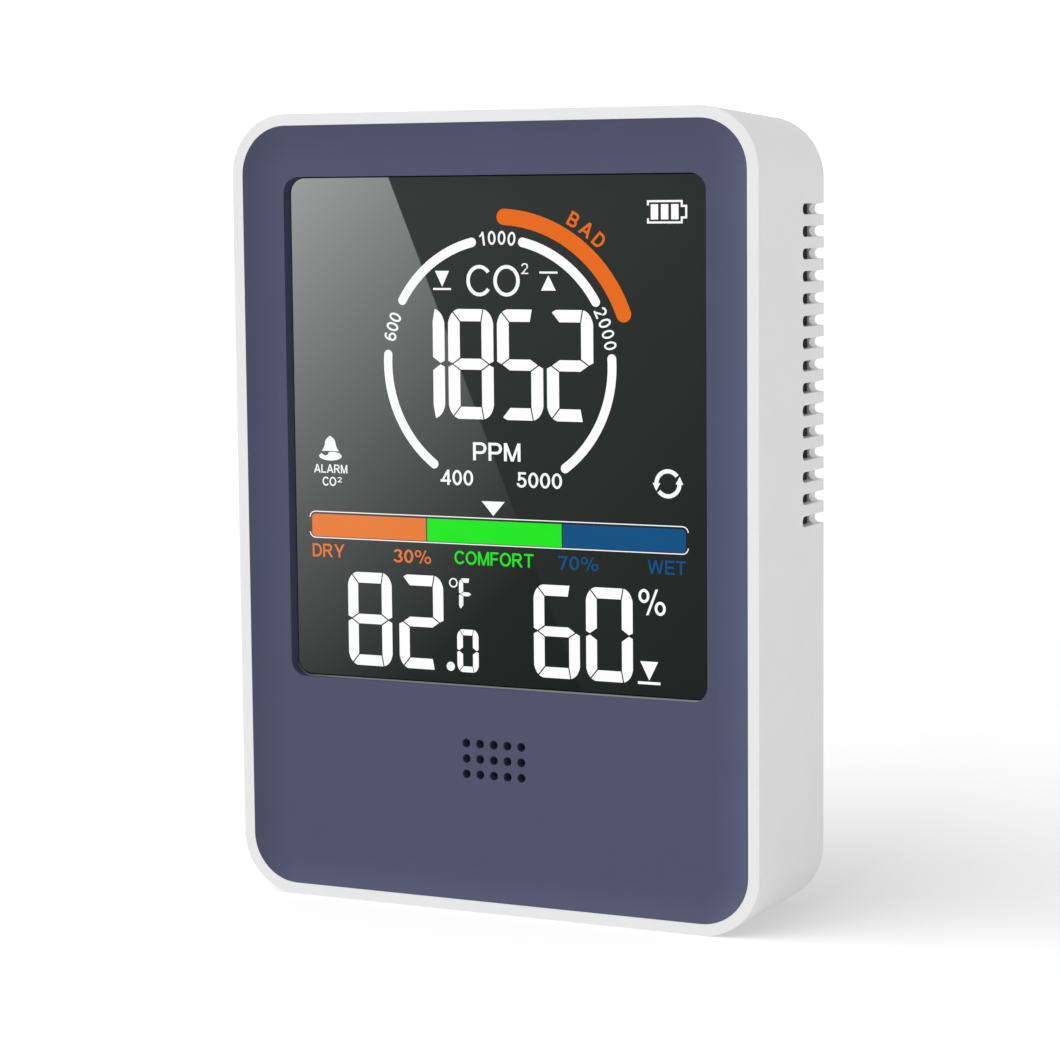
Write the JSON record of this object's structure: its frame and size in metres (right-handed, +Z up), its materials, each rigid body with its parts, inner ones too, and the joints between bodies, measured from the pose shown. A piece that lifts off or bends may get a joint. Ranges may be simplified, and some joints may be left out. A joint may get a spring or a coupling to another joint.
{
  "type": "carbon dioxide monitor",
  "caption": "Upright desktop air monitor showing carbon dioxide, temperature and humidity on a recessed display, with side vents, a sound grille and rear push buttons.",
  "frame": {"origin": "middle of the footprint, on the surface that the monitor stands on", "axes": "+Z up, the display faces -Y, +X is to the right as the display is read"},
  "size_m": [0.0864, 0.026, 0.12],
  "materials": {
    "white_shell": "fine matt moulding",
    "blue_grey_fascia": "fine matt moulding",
    "smoked_window": "polished acrylic",
    "black_adhesive": "matt foam tape",
    "display_glass": "polished glass",
    "polariser_film": "smooth film",
    "diffuser_film": "satin film",
    "clear_acrylic": "polished acrylic",
    "white_frame": "matt moulding",
    "lamp_yellow": "clear resin",
    "contact_rubber": "striped silicone rubber",
    "board_green": "solder mask",
    "chip_black": "moulded resin",
    "ceramic_tan": "fired ceramic",
    "gold_metal": "gold plated",
    "filter_white": "porous membrane",
    "black_mesh": "fine woven mesh",
    "black_plastic": "matt moulding",
    "battery_foil": "pressed foil",
    "lead_red": "extruded sleeve",
    "lead_black": "extruded sleeve",
    "connector_white": "nylon moulding",
    "port_steel": "drawn and nickel plated",
    "screw_steel": "zinc plated",
    "button_grey": "fine matt moulding",
    "label_silver": "satin film"
  },
  "bodies": {
    "housing": {"rear_shell": "white_shell", "front_fascia": "blue_grey_fascia", "display_window": "smoked_window", "window_tape": "black_adhesive", "lcd_front_polariser": "polariser_film", "lcd_front_glass": "display_glass", "lcd_rear_glass": "display_glass", "lcd_rear_polariser": "polariser_film", "backlight_diffuser": "diffuser_film", "backlight_light_guide": "clear_acrylic", "backlight_reflector": "diffuser_film", "backlight_led_strip": "board_green", "backlight_leds": "lamp_yellow", "backlight_frame": "white_frame", "lcd_contact_strips": "contact_rubber", "main_pcb": "board_green", "mcu_chip": "chip_black", "surface_mount_parts": "ceramic_tan", "humidity_sensor": "chip_black", "pcb_screws": "screw_steel", "housing_screws": "screw_steel", "co2_sensor_board": "board_green", "co2_sensor_chamber": "gold_metal", "co2_sensor_filters": "filter_white", "co2_sensor_headers": "black_plastic", "co2_sensor_pins": "gold_metal", "vent_dust_screens": "black_mesh", "grille_mesh": "black_mesh", "buzzer_gasket": "black_adhesive", "buzzer_case": "black_plastic", "buzzer_base": "black_plastic", "buzzer_disc": "gold_metal", "battery_cell": "battery_foil", "battery_tape": "black_adhesive", "battery_lead_red": "lead_red", "battery_lead_black": "lead_black", "battery_plug": "connector_white", "battery_socket": "connector_white", "usb_c_shell": "port_steel", "usb_c_tongue": "black_plastic", "switch_bodies": "black_plastic", "switch_covers": "port_steel", "switch_domes": "port_steel", "rating_label": "label_silver"},
    "left_button": {"button_left": "button_grey", "switch_plunger_left": "black_plastic"},
    "middle_button": {"button_middle": "button_grey", "switch_plunger_middle": "black_plastic"},
    "right_button": {"button_right": "button_grey", "switch_plunger_right": "black_plastic"}
  },
  "joints": [
    {"name": "left_button_press", "type": "slide", "parent": "housing", "child": "left_button", "axis": [0, -1, 0], "range_m": [0, 0.0003], "stiffness_N_per_m": 5000},
    {"name": "middle_button_press", "type": "slide", "parent": "housing", "child": "middle_button", "axis": [0, -1, 0], "range_m": [0, 0.0003], "stiffness_N_per_m": 5000},
    {"name": "right_button_press", "type": "slide", "parent": "housing", "child": "right_button", "axis": [0, -1, 0], "range_m": [0, 0.0003], "stiffness_N_per_m": 5000}
  ]
}
